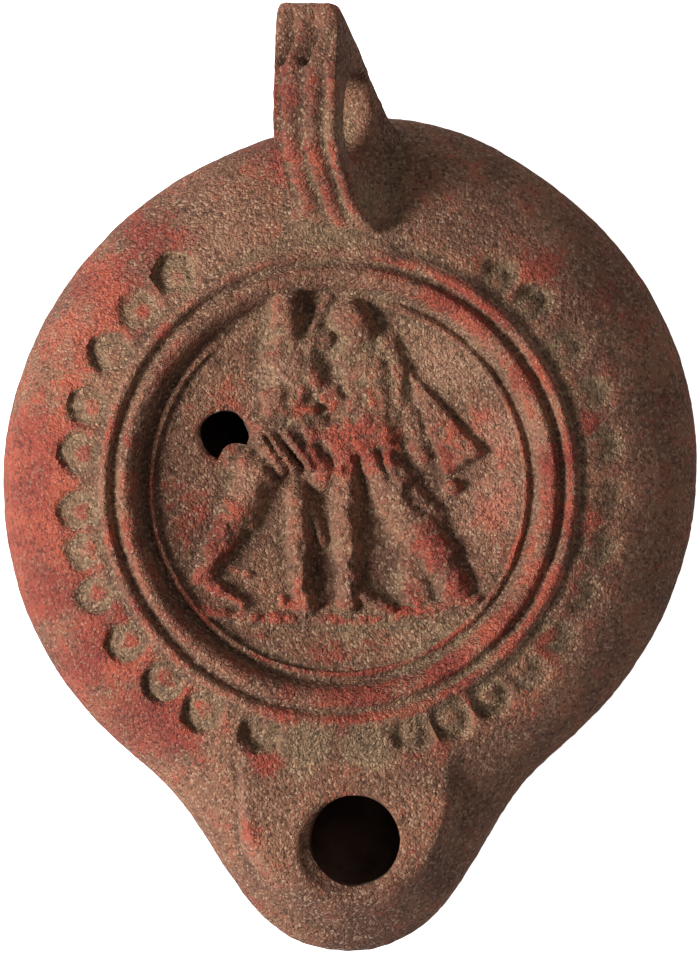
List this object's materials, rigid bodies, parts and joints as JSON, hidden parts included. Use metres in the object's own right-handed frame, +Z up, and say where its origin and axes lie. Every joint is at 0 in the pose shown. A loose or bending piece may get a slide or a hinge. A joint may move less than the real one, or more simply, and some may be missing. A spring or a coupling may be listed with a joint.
{
  "type": "roman oil lamp",
  "caption": "Round closed mould-made clay oil lamp with a dished relief picture disc, a row of egg stamps, a short round nozzle and a ribbed pierced handle.",
  "frame": {"origin": "middle of the flat base's underside", "axes": "+Z up, +Y from the nozzle towards the handle, +X to the right when the lamp is seen from above with its nozzle towards the viewer"},
  "size_m": [0.0842, 0.1149, 0.0394],
  "materials": {
    "clay": "matt fired clay with worn red slip and sandy dirt"
  },
  "bodies": {
    "root": {"lamp": "clay"}
  },
  "joints": []
}
